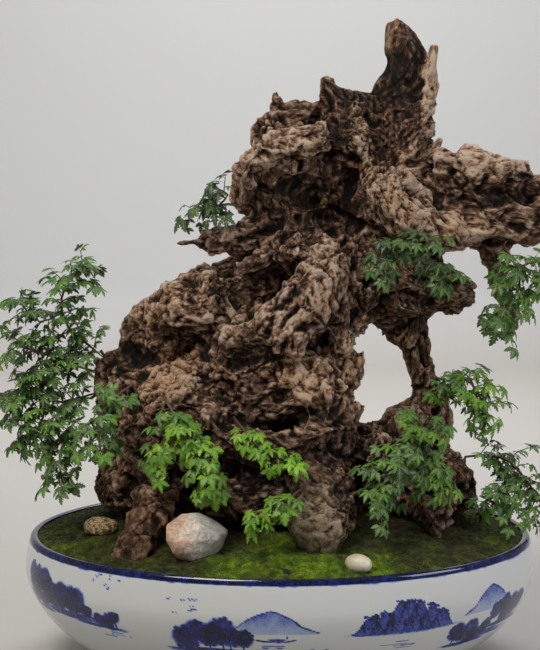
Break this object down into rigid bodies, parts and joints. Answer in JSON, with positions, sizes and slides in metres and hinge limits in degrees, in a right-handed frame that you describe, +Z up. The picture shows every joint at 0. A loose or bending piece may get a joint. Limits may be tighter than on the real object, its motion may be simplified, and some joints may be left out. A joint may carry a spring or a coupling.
{
  "type": "chinese chastetree bonsai",
  "caption": "Hollowed old stump with leafy shoots, a spire and a long arm, set with stones in the mossy soil of a shallow oval blue-and-white porcelain pot",
  "frame": {"origin": "the middle of the flat underside of the pot's foot", "axes": "+X along the oval's long axis towards the long arm's side, +Y away from the viewer of the best side, +Z up"},
  "size_m": [0.8238, 0.5388, 0.913],
  "materials": {
    "porcelain": "gloss",
    "screen": "matte",
    "mossy_soil": "matte",
    "deadwood": "matte",
    "quartz": "matte",
    "speckled_stone": "matte",
    "pebble": "satin",
    "foliage": "satin"
  },
  "bodies": {
    "root": {"pot": "porcelain", "drain_screen_left": "screen", "drain_screen_right": "screen", "soil": "mossy_soil", "trunk": "deadwood", "quartz_rock": "quartz", "speckled_stone": "speckled_stone", "white_pebble": "pebble", "left_upper_shoot": "foliage", "left_outer_shoot": "foliage", "left_low_shoot": "foliage", "left_hanging_shoot": "foliage", "cheek_shoot": "foliage", "front_left_shoot": "foliage", "front_middle_shoot": "foliage", "low_front_shoot": "foliage", "spike_shoot": "foliage", "arm_front_shoot": "foliage", "arm_end_shoot": "foliage", "knee_shoot": "foliage", "right_front_shoot": "foliage", "right_far_shoot": "foliage", "back_left_shoot": "foliage", "back_right_shoot": "foliage"}
  },
  "joints": []
}
